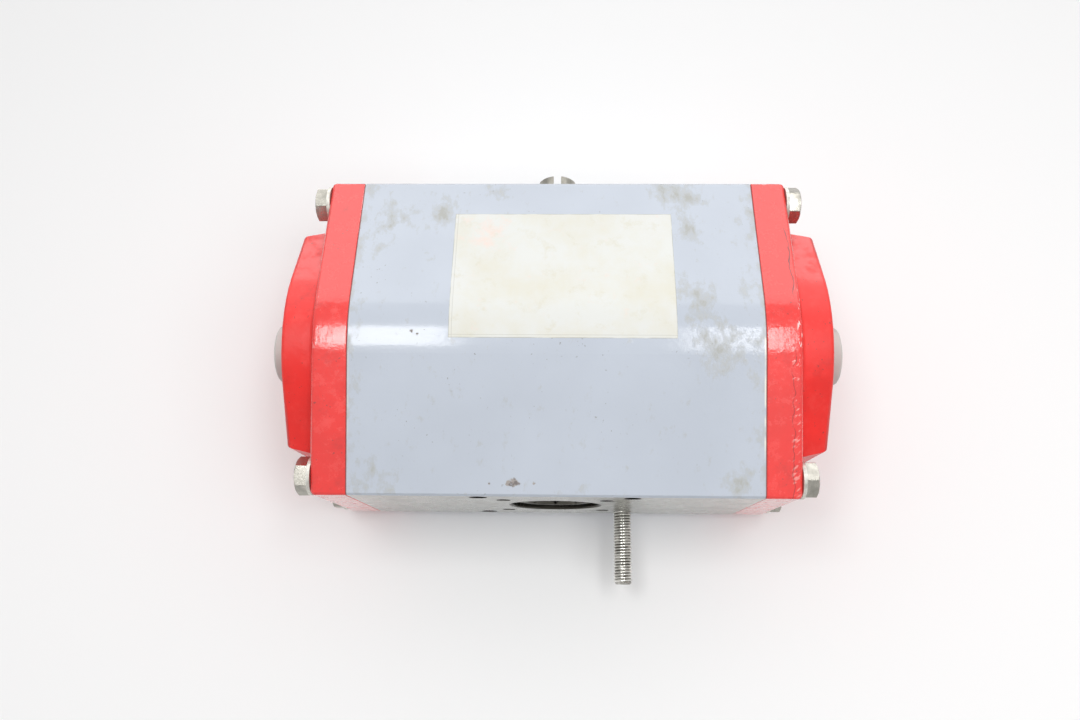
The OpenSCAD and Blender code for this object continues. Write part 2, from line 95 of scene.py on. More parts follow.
def length_property(name, millimetres, description):
    return FloatProperty(name=name, description=description, subtype="DISTANCE", unit="LENGTH",
                         default=millimetres * MM, min=0)


def power_property(name, watts, description):
    return FloatProperty(name=name, description=description, unit="POWER", default=watts, min=0)


class ActuatorColours(bpy.types.PropertyGroup):
    """Colours of the actuator's finishes."""

    body: colour_property("Body enamel", "c0c7d2", "Blue-grey enamel of the body")
    cover: colour_property("Cover enamel", "ee302b", "Red enamel of the end covers")
    metal: colour_property("Bare aluminium", "c2c2be", "Machined faces of the body")
    plate: colour_property("Zinc plate", "b6b3aa", "Bolts and thrust washer")
    shaft: colour_property("Shaft steel", "a9a69d", "Drive shaft")
    plug: colour_property("Plug plastic", "c9c8c4", "Round end plugs")
    gasket: colour_property("Gasket", "8f605d", "Fibre gaskets, stained by the red paint")
    rubber: colour_property("Rubber", "1d1d1e", "Sealing rings")
    bearing: colour_property("Bearing plastic", "e2dcc8", "Bushes, bands and pads")
    paper: colour_property("Label paper", "dddeda", "Bare paper label")
    floor: colour_property("Table", "f8f8f8", "Table the actuator lies on")


class ActuatorSizes(bpy.types.PropertyGroup):
    """Sizes of what the finish adds to the construction."""

    edge_round: length_property("Edge rounding", 0.45, "Rounding of the body's edges")
    cover_round: length_property("Cover rounding", 0.5, "Rounding of the cover's inner edge")
    dome_fillet: length_property("Dome fillet", 2.4, "Fillet at the foot of the dome")
    bolt_round: length_property("Bolt rounding", 0.35, "Rounding of the bolt heads' corners")
    face_w: length_property("Face width", 85, "Width of the valve face and the top face")
    label_left: length_property("Label left", 49.8, "Label's left edge, from the shaft's axis")
    label_right: length_property("Label right", 56.1, "Label's right edge, from the shaft's axis")
    label_low: length_property("Label low", 71, "Label's lower edge, from the valve face")
    label_high: length_property("Label high", 138, "Label's upper edge, from the valve face")
    label_t: length_property("Label thickness", 0.15, "Thickness of the paper")
    label_lift: length_property("Label lift", 0.05, "Height of the sheet that the paper is thickened from")
    stud_d: length_property("Stud diameter", 10, "Outside diameter of the stud's thread")
    thread_pitch: length_property("Thread pitch", 1.5, "Pitch of the stud's thread")
    thread_depth: length_property("Thread depth", 0.85, "Depth of the stud's thread")
    stud_chamfer: length_property("Stud chamfer", 1.3, "Chamfer at the stud's end")
    thread_steps: IntProperty(name="Thread steps", description="Faces in one turn of thread", default=32,
                              min=8)


class ActuatorStage(bpy.types.PropertyGroup):
    """Camera, lamps and table."""

    eye: FloatVectorProperty(name="Camera", description="Camera's place", subtype="TRANSLATION", size=3,
                             default=(0.0026, -0.0433, 0.4609))
    turn: FloatVectorProperty(name="Camera turn", description="Camera's turn", subtype="EULER", size=3,
                              default=[math.radians(a) for a in (14.512, 1.231, 0.623)])
    lens: FloatProperty(name="Lens", description="Focal length on a 36 mm wide film", default=30.14, min=1)
    table: length_property("Table size", 30000, "Side of the table")
    lamp_height: length_property("Lamp height", 1200, "Height above the table of all but the rim lamps")
    left_power: power_property("Left lamp", 2.8, "Power of the left soft box")
    right_power: power_property("Right lamp", 1.9, "Power of the right soft box")
    fill_power: power_property("Fill lamp", 5.6, "Power of the broad lamp overhead")
    back_power: power_property("Back lamp", 15.5, "Power of the lit screen behind, seen in gloss")
    rim_power: power_property("Rim lamps", 14.0, "Power of each lamp far behind, seen in gloss")
    front_sky: FloatProperty(name="Front sky", description="Light from the camera's side", default=0.1,
                             min=0)
    back_sky: FloatProperty(name="Back sky", description="Light from the far side", default=0.92, min=0)
    background: FloatProperty(name="Background", description="Whiteness behind the table", default=0.8,
                              min=0)


def colours():
    return bpy.context.scene.actuator_colours


def sizes():
    return bpy.context.scene.actuator_sizes


def side_lean():
    """Angle of the body's leaning sides, which run from the faces' corners to the bulge."""
    half = sizes().face_w / 2
    return math.asin(RIDGE_R / math.hypot(AXIS_Y, half)) - math.atan2(half, AXIS_Y)


# Materials


def add(tree, kind, sockets=(), output=0, **settings):
    """Adds a node and gives one of its outputs, or the node itself where output is None.

    sockets maps an input's name or number to a value or to another node's output.
    """
    made = tree.nodes.new("ShaderNode" + kind)
    for name, value in settings.items():
        setattr(made, name, value)
    for key, value in dict(sockets).items():
        if isinstance(value, bpy.types.NodeSocket):
            tree.links.new(value, made.inputs[key])
        else:
            made.inputs[key].default_value = value
    return made if output is None else made.outputs[output]


def blank(name):
    """An empty material, its node tree and the piece's own coordinates."""
    material = bpy.data.materials.new(name)
    material.use_nodes = True
    tree = material.node_tree
    tree.nodes.clear()
    return material, tree, add(tree, "TexCoord", output="Object")


def shaded(material, sockets):
    """Ends a material's tree with its shader."""
    shader = add(material.node_tree, "BsdfPrincipled", sockets)
    add(material.node_tree, "OutputMaterial", {"Surface": shader}, None)
    return material


def product(tree, *masks):
    """The share where all the masks overlap."""
    whole = masks[0]
    for mask in masks[1:]:
        whole = add(tree, "Math", {0: whole, 1: mask}, operation="MULTIPLY")
    return whole


def strongest(tree, *masks):
    """The largest of several masks."""
    top = masks[0]
    for mask in masks[1:]:
        top = add(tree, "Math", {0: top, 1: mask}, operation="MAXIMUM")
    return top


def patches(tree, place, size, low, high, detail=3.0, rough=0.5):
    """Random patches about a size across: 0 where their noise is under low, 1 where it is over high."""
    value = add(tree, "TexNoise", {"Vector": place, "Scale": 1 / size, "Detail": detail, "Roughness": rough})
    return add(tree, "MapRange", {"Value": value, "From Min": low, "From Max": high})


def ragged(tree, mask, lift, place, size, low, high):
    """A soft mask broken up by noise of a size, so that its rim is torn and its middle patchy."""
    value = add(tree, "TexNoise", {"Vector": place, "Scale": 1 / size, "Detail": 6.0, "Roughness": 0.7})
    lifted = add(tree, "Math", {0: mask, 1: lift, 2: value}, operation="MULTIPLY_ADD")
    return add(tree, "MapRange", {"Value": lifted, "From Min": low, "From Max": high})


def near(tree, place, spot, radius):
    """1 at a spot, 0 a radius away from it."""
    away = add(tree, "VectorMath", {0: place, 1: spot}, "Value", operation="DISTANCE")
    return add(tree, "MapRange", {"Value": away, "From Max": radius, "To Min": 1.0, "To Max": 0.0})


def band(tree, value, low, high, soft):
    """1 where a value is between low and high, with soft ends."""
    rise = add(tree, "MapRange", {"Value": value, "From Min": low - soft, "From Max": low + soft})
    fall = add(tree, "MapRange", {"Value": value, "From Min": high + soft, "From Max": high - soft})
    return product(tree, rise, fall)


def laid_over(tree, paint, colour, *masks):
    """Lays a colour over the paint where all the masks are."""
    return add(tree, "Mix", {0: product(tree, *masks), 6: paint, 7: colour}, 2, data_type="RGBA")


# Greasy hand marks on the body: across, up and reach in millimetres, and strength
BODY_SMUDGES = (
    (-80.7, 137, 16, 0.9),
    (-88.7, 120.7, 12, 0.6),
    (-57, 140, 16, 0.8),
    (-29, 152, 10, 0.6),
    (54.2, 153, 14, 0.9),
    (63, 149, 15, 1.0),
    (64, 128, 14, 0.8),
    (66, 93, 15, 0.9),
    (68, 81, 13, 0.8),
    (76, 67.5, 18, 0.9),
    (84.2, 8, 11, 1.0),
    (-81.5, 9, 14, 0.6),
)
# Rusty chip above the valve face, and the nicks beside it and on the bulge: across, up and reach
BODY_CHIPS = (
    (-18.5, 6.1, 4.6),
    (-21.2, 5.8, 3),
    (-30.5, 5.6, 1.6),
    (-9.7, 5.7, 1.6),
    (-66.9, 74, 1.8),
    (-64.1, 72.7, 1.8),
)


def mark(tree, place, across, up, reach):
    """1 at a place on the body's upper sides, 0 a reach away from it, all in millimetres."""
    lean = side_lean()
    away = abs(up * MM - AXIS_Y)
    if away < RIDGE_R * math.sin(lean):
        height = math.sqrt(RIDGE_R ** 2 - away ** 2)
    else:
        height = (RIDGE_R - away * math.sin(lean)) / math.cos(lean)
    return near(tree, place, (across * MM, up * MM, height), reach * MM)


def body_enamel():
    """Sprayed blue-grey gloss with a faint orange peel, olive hand grease, nicks and a rusty chip."""
    material, tree, place = blank("body_enamel")
    body = Vector(colours().body)
    across, up, _ = add(tree, "SeparateXYZ", {0: place}, None).outputs
    along = add(tree, "Math", {0: across}, operation="ABSOLUTE")
    paint = laid_over(tree, opaque(body * 0.97), opaque(body * 1.03),
                      patches(tree, place, 50 * MM, 0.35, 0.65))
    # Grease is wiped on in upright strokes, and gathers beside the covers and round the shaft
    strokes = add(tree, "Mapping", {"Vector": place, "Scale": (1.0, 0.6, 1.0)})
    beside_covers = add(tree, "MapRange", {"Value": along, "From Min": END_X - 11 * MM, "From Max": END_X,
                                           "To Max": 0.48})
    round_shaft = product(tree, near(tree, place, (0.0, BODY_H, 0.0), 34 * MM), 0.9)
    hands = [product(tree, mark(tree, place, *spot), strength) for *spot, strength in BODY_SMUDGES]
    marks = strongest(tree, *hands, beside_covers, round_shaft)
    grease = ragged(tree, marks, 0.34, strokes, 5 * MM, 0.60, 0.86)
    paint = laid_over(tree, paint, opaque(linear("9f9b88")), grease, 0.62)
    specks = patches(tree, place, 1.4 * MM, 0.74, 0.78, 1.0, 0.4)
    paint = laid_over(tree, paint, opaque(linear("75726a")), specks,
                      patches(tree, place, 30 * MM, 0.45, 0.6), 0.6)
    chips = strongest(tree, *[mark(tree, place, *spot) for spot in BODY_CHIPS])
    chip = ragged(tree, chips, 0.5, place, 1.8 * MM, 0.78, 0.86)
    rust = laid_over(tree, opaque(linear("655850")), opaque(linear("9c9188")),
                     patches(tree, place, 1.6 * MM, 0.42, 0.58))
    paint = laid_over(tree, paint, rust, chip, 0.85)
    # A near-white line is painted along the lower rim of the right end, and a fainter one along the left
    rim = product(tree, band(tree, along, END_X - 0.7 * MM, END_X + 1 * MM, 0.15 * MM),
                  band(tree, up, AXIS_Y - 58 * MM, AXIS_Y + 2 * MM, 5 * MM))
    side = add(tree, "MapRange", {"Value": across, "From Min": -END_X, "From Max": END_X, "To Min": 0.3})
    paint = laid_over(tree, paint, opaque(linear("f8f3e2")), rim, side,
                      patches(tree, place, 9 * MM, 0.4, 0.6), 0.8)
    dull = strongest(tree, product(tree, grease, 0.7), chip)
    waves = add(tree, "TexNoise", {"Vector": place, "Scale": 1 / (2.2 * MM)})
    relief = add(tree, "Math", {0: grease, 1: 1.5, 2: waves}, operation="MULTIPLY_ADD")
    return shaded(material, {
        "Base Color": paint,
        "Roughness": add(tree, "MapRange", {"Value": dull, "To Min": 0.12, "To Max": 0.6}),
        "Normal": add(tree, "Bump", {"Height": relief, "Distance": 0.03 * MM}),
    })


def cover_enamel(name, rough, coat):
    """Red enamel brushed thickly over a casting, wavy and rubbed, with pale flecks of wear and painted
    highlight on the ridge of its edges, and torn along the right cover's edge.

    rough is the roughness where it isn't rubbed, and coat is the weight of a clear gloss over it.
    """
    material, tree, place = blank(name)
    across, up, _ = add(tree, "SeparateXYZ", {0: place}, None).outputs
    red = Vector(colours().cover)
    paint = laid_over(tree, opaque(red * 0.92), opaque(red * 1.05),
                      patches(tree, place, 30 * MM, 0.35, 0.65, 4.0, 0.6))
    rubbed = patches(tree, place, 9 * MM, 0.5, 0.72, 6.0, 0.75)
    paint = laid_over(tree, paint, opaque(linear("f8736c")), rubbed, 0.22)
    grimy = patches(tree, place, 16 * MM, 0.55, 0.72, 6.0, 0.7)
    paint = laid_over(tree, paint, opaque(linear("a82c2a")), grimy, 0.4)
    specks = patches(tree, place, 1.5 * MM, 0.73, 0.77, 1.0, 0.4)
    paint = laid_over(tree, paint, opaque(linear("7d3a36")), specks, 0.6)

    # Where the bulge meets the covers' outer edges small pale flecks are painted: partly paint rubbed
    # through, partly a painted highlight on the ridge
    edge = band(tree, add(tree, "Math", {0: across}, operation="ABSOLUTE"), FLANGE_X - 2.6 * MM,
                FLANGE_X - 0.4 * MM, 0.5 * MM)
    upright = add(tree, "Mapping", {"Vector": place, "Scale": (1.0, 0.25, 1.0)})
    bulge = band(tree, up, AXIS_Y - 16 * MM, AXIS_Y + 15 * MM, 4 * MM)
    wear_and_glint_flecks = product(tree, edge, bulge, patches(tree, upright, 1.1 * MM, 0.58, 0.64, 2.0))
    right_side = add(tree, "MapRange", {"Value": across, "From Max": 10 * MM, "To Min": 0.2})
    paint = laid_over(tree, paint, opaque(linear("fde4e0")), wear_and_glint_flecks, right_side)
    # Lower down on the right the skin of paint is drawn into slanting wrinkles, inside a torn line
    low = band(tree, up, -1.0, AXIS_Y - 12 * MM, 5 * MM)
    torn = band(tree, across, FLANGE_X - 5.2 * MM, FLANGE_X - 1.6 * MM, 0.6 * MM)
    slant = add(tree, "Mapping", {
        "Vector": place, "Rotation": (0, 0, math.radians(38)), "Scale": (3.0, 1.0, 1.0),
    }, vector_type="TEXTURE")
    wrinkles = product(tree, torn, low, patches(tree, slant, 1.5 * MM, 0.56, 0.66, 1.0))
    paint = laid_over(tree, paint, opaque(linear("f59a92")), wrinkles, 0.75)
    # A wandering crack runs up the same edge
    wander = add(tree, "TexNoise", {"Vector": place, "Scale": 1 / (9 * MM)})
    swing = add(tree, "MapRange", {"Value": wander, "From Min": 0.3, "From Max": 0.7, "To Min": -1.2 * MM,
                                   "To Max": 1.2 * MM})
    crack_at = add(tree, "Math", {0: across, 1: swing}, operation="ADD")
    upper_crack = product(tree, band(tree, crack_at, FLANGE_X - 3.2 * MM, FLANGE_X - 2.7 * MM, 0.2 * MM),
                          band(tree, up, AXIS_Y + 14 * MM, AXIS_Y + 52 * MM, 3 * MM))
    lower_crack = product(tree, low,
                          band(tree, crack_at, FLANGE_X - 5.0 * MM, FLANGE_X - 4.6 * MM, 0.15 * MM))
    crack = strongest(tree, upper_crack, product(tree, lower_crack, 0.6))
    paint = laid_over(tree, paint, opaque(linear("3c0a08")), crack,
                      patches(tree, upright, 2 * MM, 0.3, 0.5), 0.95)

    wear_and_glints = strongest(tree, wear_and_glint_flecks, wrinkles)
    waves = add(tree, "TexNoise", {"Vector": place, "Scale": 1 / (3 * MM), "Detail": 4.0})
    relief = add(tree, "Math", {0: wear_and_glints, 1: 0.5, 2: waves}, operation="MULTIPLY_ADD")
    skin = add(tree, "Bump", {"Height": relief, "Distance": 0.1 * MM})
    return shaded(material, {
        "Base Color": paint,
        "Roughness": add(tree, "MapRange", {"Value": rubbed, "To Min": rough, "To Max": rough + 0.28}),
        "Normal": skin, "Coat Weight": coat, "Coat Roughness": 0.09, "Coat Normal": skin,
    })


def machined_aluminium():
    """Milled aluminium left bare: fine parallel tool lines, a dull grey bloom and painted shade in the holes
    of the valve face.
    """
    material, tree, place = blank("machined_aluminium")
    stretched = add(tree, "Mapping", {"Vector": place, "Scale": (0.03, 1.0, 1.0)})
    lines = add(tree, "TexNoise", {"Vector": stretched, "Scale": 1 / (0.6 * MM)})
    bloom = patches(tree, place, 14 * MM, 0.35, 0.7, 6.0, 0.68)
    metal = Vector(colours().metal)
    # Painted shade darkens the holes of the valve face
    depth = add(tree, "SeparateXYZ", {0: place}, "Y")
    hole_shade = band(tree, depth, 0.2 * MM, SHADED_HOLE_DEPTH, 0.1 * MM)
    paint = laid_over(tree, opaque(metal), opaque(metal * 0.8), bloom)
    return shaded(material, {
        "Base Color": laid_over(tree, paint, opaque(linear(PAINTED_SHADE_COLOUR)), hole_shade),
        "Metallic": 1.0,
        "Roughness": add(tree, "MapRange", {"Value": bloom, "To Min": 0.22, "To Max": 0.36}),
        "Normal": add(tree, "Bump", {"Height": lines, "Distance": 0.012 * MM}),
    })


def steel(name, colour, rough, grain, painted_shade=0.0):
    """Plated, turned or cast metal with a blotchy bloom of a grain's size.

    Its last argument is how much of the painted shade colour it takes near the valve face.
    """
    material, tree, place = blank(name)
    tone = Vector(colour)
    bloom = patches(tree, place, grain, 0.35, 0.7, 5.0, 0.65)
    pores = add(tree, "TexNoise", {"Vector": place, "Scale": 5 / grain})
    paint = laid_over(tree, opaque(tone), opaque(tone * 0.62), bloom)
    # Painted shade darkens it near the valve face
    if painted_shade:
        hole_shade = band(tree, add(tree, "SeparateXYZ", {0: place}, "Y"), -SHADED_HOLE_DEPTH, SHADED_HOLE_DEPTH, 2 * MM)
        paint = laid_over(tree, paint, opaque(linear(PAINTED_SHADE_COLOUR)), hole_shade, painted_shade)
    return shaded(material, {
        "Base Color": paint,
        "Metallic": 1.0,
        "Roughness": add(tree, "MapRange", {"Value": bloom, "To Min": rough, "To Max": rough + 0.2}),
        "Normal": add(tree, "Bump", {"Height": pores, "Distance": 0.02 * MM}),
    })


def stud_steel():
    """Plated thread, bright on its crests and darker in its roots, in patches."""
    material, tree, place = blank("stud_steel")
    offset = add(tree, "VectorMath", {0: place, 1: STUD_AXIS}, operation="SUBTRACT")
    spoke = add(tree, "VectorMath", {0: offset, 1: (1.0, 0.0, 1.0)}, operation="MULTIPLY")
    radius = add(tree, "VectorMath", {0: spoke}, "Value", operation="LENGTH")
    outer = sizes().stud_d / 2
    # The thread is darker towards its roots, in patches
    root = add(tree, "MapRange", {"Value": radius, "From Min": outer - 0.1 * MM,
                                  "From Max": outer - sizes().thread_depth})
    root_darkening = product(tree, root, add(tree, "MapRange", {
        "Value": patches(tree, place, 4 * MM, 0.3, 0.6, 4.0, 0.7), "To Min": 0.2,
    }))
    return shaded(material, {
        "Base Color": laid_over(tree, opaque(linear("f2f1ec")), opaque(linear("6e6b62")), root_darkening),
        "Metallic": 1.0,
        "Roughness": add(tree, "MapRange", {"Value": root_darkening, "To Min": 0.25, "To Max": 0.6}),
    })


def moulded(name, colour, rough, grain):
    """Moulded plastic, rubber or fibre: a matt skin with a fine grain and slight mottling."""
    material, tree, place = blank(name)
    tone = Vector(colour)
    mottle = patches(tree, place, 12 * MM, 0.3, 0.7, 4.0)
    skin = add(tree, "TexNoise", {"Vector": place, "Scale": 1 / grain})
    return shaded(material, {
        "Base Color": laid_over(tree, opaque(tone * 0.9), opaque(tone * 1.06), mottle),
        "Roughness": add(tree, "MapRange", {"Value": mottle, "To Min": rough, "To Max": rough + 0.1}),
        "Normal": add(tree, "Bump", {"Height": skin, "Distance": 0.03 * MM}),
    })


# Pink rub on the label: across, up and reach in millimetres
LABEL_RUB = (-34, 128, 16)


def label_paper():
    """Coated paper gone yellow, with oil blots, a pink rub, a rule inside its rim and an edge that is darker
    in patches.
    """
    material, tree, place = blank("label_paper")
    own = sizes()
    across, up, _ = add(tree, "SeparateXYZ", {0: place}, None).outputs
    yellow = patches(tree, place, 30 * MM, 0.42, 0.66, 5.0, 0.65)
    paint = laid_over(tree, opaque(colours().paper), opaque(linear("d9d4bf")), yellow, 0.55)
    blots = patches(tree, place, 9 * MM, 0.56, 0.72, 6.0, 0.72)
    paint = laid_over(tree, paint, opaque(linear("cbc4a8")), blots, 0.4)
    rub = ragged(tree, mark(tree, place, *LABEL_RUB), 0.3, place, 7 * MM, 0.6, 0.9)
    paint = laid_over(tree, paint, opaque(linear("ecd2c6")), rub, 0.7)
    rule_in = 1.3 * MM
    rule_w = 0.25 * MM
    rim_w = 0.2 * MM
    left_rule = band(tree, across, rule_in - own.label_left, rule_in + rule_w - own.label_left, 0.1 * MM)
    low_rule = band(tree, up, own.label_low + rule_in, own.label_low + rule_in + rule_w, 0.1 * MM)
    paint = laid_over(tree, paint, opaque(linear("8f8d80")), strongest(tree, left_rule, low_rule), 0.35)
    # The paper is darker along its edge, in patches
    inner = product(tree, band(tree, across, rim_w - own.label_left, own.label_right - rim_w, 0.15 * MM),
                    band(tree, up, own.label_low + rim_w, own.label_high - rim_w, 0.15 * MM))
    darker_edge = add(tree, "MapRange", {"Value": inner, "To Min": 0.6, "To Max": 0.0})
    paint = laid_over(tree, paint, opaque(linear("6f6b5e")), darker_edge, patches(tree, place, 8 * MM, 0.3, 0.55))
    fibres = add(tree, "TexNoise", {"Vector": place, "Scale": 1 / (4 * MM), "Detail": 3.0})
    return shaded(material, {
        "Base Color": paint,
        "Roughness": add(tree, "MapRange", {"Value": yellow, "To Min": 0.42, "To Max": 0.6}),
        "Normal": add(tree, "Bump", {"Height": fibres, "Distance": 0.02 * MM}),
    })


def table_top():
    """Plain matt white board."""
    material = blank("table_top")[0]
    return shaded(material, {
        "Base Color": opaque(colours().floor), "Roughness": 0.9, "Specular IOR Level": 0.0,
    })


# Meshes

WELD = 1e-6
TOUCH = 0.01 * MM
FLAT = math.radians(1)
SHARP = math.radians(35)
CORNER = math.radians(25)


def corner_edges(bm, keep):
    """Edges between two faces that meet at a clear angle and that keep picks."""
    return [e for e in bm.edges if len(e.link_faces) == 2 and e.calc_face_angle(0) > CORNER and keep(e)]


def round_edges(bm, edges, width, segments=3):
    bmesh.ops.bevel(bm, geom=edges, offset=width, offset_type="OFFSET", segments=segments, profile=0.5,
                    affect="EDGES", clamp_overlap=True, material=-1)


def welded(node):
    """A welded copy of a node's mesh, with its flat faces whole."""
    bm = bmesh.new()
    bm.from_mesh(frame["nodes"][node].data)
    bmesh.ops.remove_doubles(bm, verts=bm.verts, dist=WELD)
    bmesh.ops.dissolve_limit(bm, angle_limit=FLAT, use_dissolve_boundaries=False, verts=bm.verts,
                             edges=bm.edges, delimit=set())
    return bm


def piece(name, bm, materials, body, node=None):
    """Turns a bmesh into a piece that rides on a body and stands for a node."""
    bmesh.ops.dissolve_degenerate(bm, dist=WELD, edges=bm.edges)
    mesh = bpy.data.meshes.new(name)
    bm.to_mesh(mesh)
    bm.free()
    for material in materials:
        mesh.materials.append(material)
    mesh.polygons.foreach_set("use_smooth", [True] * len(mesh.polygons))
    mesh.set_sharp_from_angle(angle=SHARP)
    made = bpy.data.objects.new(name, mesh)
    bpy.context.scene.collection.objects.link(made)
    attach(made, body)
    if node:
        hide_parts(node)
    return made


def even_shading(made):
    """Keeps flat faces flat beside their rounded edges."""
    modifier = made.modifiers.new("even_shading", "WEIGHTED_NORMAL")
    modifier.keep_sharp = True
    return made


def finish_node(node, material):
    """Gives a construction piece its finish as it is."""
    mesh = frame["nodes"][node].data
    mesh.materials.clear()
    mesh.materials.append(material)


# Pieces

# An edge nearly as long as the body, and how far inside the bulge the outside still reaches
LONG_EDGE = 1.9 * END_X
SKIN = 2 * MM
# Holes stay this far inside the rims of the two faces, and this near the middle of the connection land
FACE_RIM = 1.2 * MM
LAND_REACH = 26 * MM
LAND_Z = -0.8 * RIDGE_R
# Parts of a direction: hardly any, half, nearly all, and all but a trace of it
HARDLY, HALF, NEARLY, WHOLLY = 0.1, 0.5, 0.95, 0.99


def runs_along_body(edge):
    return abs(edge.verts[0].co.x - edge.verts[1].co.x) > LONG_EDGE


def away_from_bore(point):
    return math.hypot(point.y - AXIS_Y, point.z) > RIDGE_R - SKIN


def is_outline(vert):
    return any(runs_along_body(e) for e in vert.link_edges) and away_from_bore(vert.co)


def body_corner(edge):
    """The body's long corners, and the outline of its two ends."""
    if runs_along_body(edge):
        return all(away_from_bore(v.co) for v in edge.verts)
    at_end = all(abs(abs(v.co.x) - END_X) < TOUCH for v in edge.verts)
    return at_end and all(is_outline(v) for v in edge.verts)


def in_hole(face):
    """In a hole of the valve face, the top face or the air connection land."""
    middle = face.calc_center_median()
    depth = min(middle.y, BODY_H - middle.y)
    in_face = TOUCH < depth < SHADED_HOLE_DEPTH and abs(middle.z) < sizes().face_w / 2 - FACE_RIM
    in_land = middle.z < LAND_Z and abs(middle.y - AXIS_Y) < LAND_REACH and abs(face.normal.z) < HALF
    return in_face or in_land


def is_painted(face):
    """Paint covers the outside of the body, but not the valve face, the ends, the holes and the bore."""
    middle = face.calc_center_median()
    outward = Vector((0, middle.y - AXIS_Y, middle.z)).dot(face.normal) > 0
    on_valve_face = face.normal.y < -NEARLY and middle.y < 1 * MM
    at_end = abs(face.normal.x) > HARDLY
    return outward and away_from_bore(middle) and not (on_valve_face or at_end or in_hole(face))


class ActuatorHousing(bpy.types.Operator):
    """Paints the body and rounds its edges"""

    bl_idname = "actuator.housing"
    bl_label = "Body"

    def execute(self, context):
        bm = welded("housing")
        round_edges(bm, corner_edges(bm, body_corner), sizes().edge_round)
        for face in bm.faces:
            face.material_index = 0 if is_painted(face) else 1
        even_shading(piece("body_shell", bm, [body_enamel(), machined_aluminium()], "housing",
                           "housing"))
        return {"FINISHED"}


# Faces of a cover's outside are larger than this, and those of its holes and hollow are smaller
COVER_FACE = 30 * MM ** 2


def cover_back_edge(edge):
    """The outline of a cover where it meets the body."""
    at_back = all(abs(abs(v.co.x) - COVER_X) < TOUCH for v in edge.verts)
    beside_skin = any(abs(f.normal.x) < HARDLY and f.calc_area() > COVER_FACE for f in edge.link_faces)
    return at_back and beside_skin


def dome_foot_edge(edge):
    at_flange = all(abs(abs(v.co.x) - FLANGE_X) < 2 * TOUCH for v in edge.verts)
    return at_flange and edge.calc_face_angle_signed(0) < 0


def is_dome(face):
    return abs(face.calc_center_median().x) > FLANGE_X + 10 * TOUCH


class ActuatorCovers(bpy.types.Operator):
    """Paints the two end covers, with a fillet round each dome"""

    bl_idname = "actuator.covers"
    bl_label = "End covers"

    def execute(self, context):
        gloss = cover_enamel("cover_enamel", 0.2, 0.8)
        satin = cover_enamel("dome_enamel", 0.36, 0.0)
        fibre = moulded("gasket_fibre", colours().gasket, 0.6, 1 * MM)
        for side in ("left", "right"):
            node = f"{side}_end_cap"
            bm = welded(node)
            round_edges(bm, corner_edges(bm, cover_back_edge), sizes().cover_round)
            round_edges(bm, corner_edges(bm, dome_foot_edge), sizes().dome_fillet, 4)
            for face in bm.faces:
                face.material_index = 1 if is_dome(face) else 0
            even_shading(piece(f"{side}_cover", bm, [gloss, satin], "housing", node))
            finish_node(f"{side}_cap_gasket", fibre)
        return {"FINISHED"}


# A bolt head's corners are between these lengths
HEAD_LOW, HEAD_HIGH = 3 * MM, 8 * MM


def hexagon_corner(edge):
    """The six corners of a bolt head."""
    run = edge.verts[0].co - edge.verts[1].co
    return abs(run.normalized().x) > WHOLLY and HEAD_LOW < run.length < HEAD_HIGH


class ActuatorFasteners(bpy.types.Operator):
    """Plates the bolts and washers, and rounds the bolt heads' corners"""

    bl_idname = "actuator.fasteners"
    bl_label = "Bolts and washers"

    def execute(self, context):
        plate = steel("zinc_plated_steel", colours().plate, 0.2, 6 * MM)
        matt = steel("matt_washer_steel", linear("e2e0d8"), 0.5, 4 * MM)
        for side in ("left", "right"):
            bm = welded(f"{side}_cap_bolts")
            round_edges(bm, corner_edges(bm, hexagon_corner), sizes().bolt_round)
            even_shading(piece(f"{side}_bolts", bm, [plate], "housing", f"{side}_cap_bolts"))
            finish_node(f"{side}_cap_washers", matt)
        return {"FINISHED"}


# One turn of thread: 1 on its crest or 0 in its root, and the place along it as a share of the pitch
THREAD = ((0, 0.0), (0, 0.12), (1, 0.48), (1, 0.64), (0, 1.0))
# Points of neighbouring turns are this near each other
THREAD_SEAM = 0.005 * MM


class ActuatorStud(bpy.types.Operator):
    """Cuts the stud's thread"""

    bl_idname = "actuator.stud"
    bl_label = "Stud"

    def execute(self, context):
        own = sizes()
        outer = own.stud_d / 2
        root = outer - own.thread_depth
        pitch = own.thread_pitch
        low = STUD_LOW.y
        turns = math.ceil(-low / pitch) + 2
        bm = bmesh.new()
        verts = []
        for out, along in THREAD:
            radius = outer if out else root
            verts.append(bm.verts.new(STUD_AXIS + Vector((radius, low + (along - 1) * pitch, 0))))
        edges = [bm.edges.new(pair) for pair in zip(verts, verts[1:])]
        bmesh.ops.spin(bm, geom=verts + edges, cent=STUD_AXIS, axis=(0, 1, 0), angle=turns * math.tau,
                       dvec=(0, pitch / own.thread_steps, 0), steps=turns * own.thread_steps,
                       use_merge=False, use_duplicate=False)
        bmesh.ops.remove_doubles(bm, verts=bm.verts, dist=THREAD_SEAM)
        for height, outward in ((low, -1), (0.0, 1)):
            bmesh.ops.bisect_plane(bm, geom=bm.verts[:] + bm.edges[:] + bm.faces[:], dist=WELD,
                                   plane_co=(0, height, 0), plane_no=(0, outward, 0), clear_outer=True)
        bmesh.ops.holes_fill(bm, edges=[e for e in bm.edges if e.is_boundary], sides=0)
        for vert in bm.verts:
            spoke = Vector((vert.co.x - STUD_AXIS.x, 0, vert.co.z - STUD_AXIS.z))
            limit = outer - max(0.0, own.stud_chamfer - (vert.co.y - low))
            if spoke.length > limit:
                vert.co -= spoke * (1 - limit / spoke.length)
        bmesh.ops.recalc_face_normals(bm, faces=bm.faces)
        piece("threaded_stud", bm, [stud_steel()], "housing", "mounting_stud")
        return {"FINISHED"}


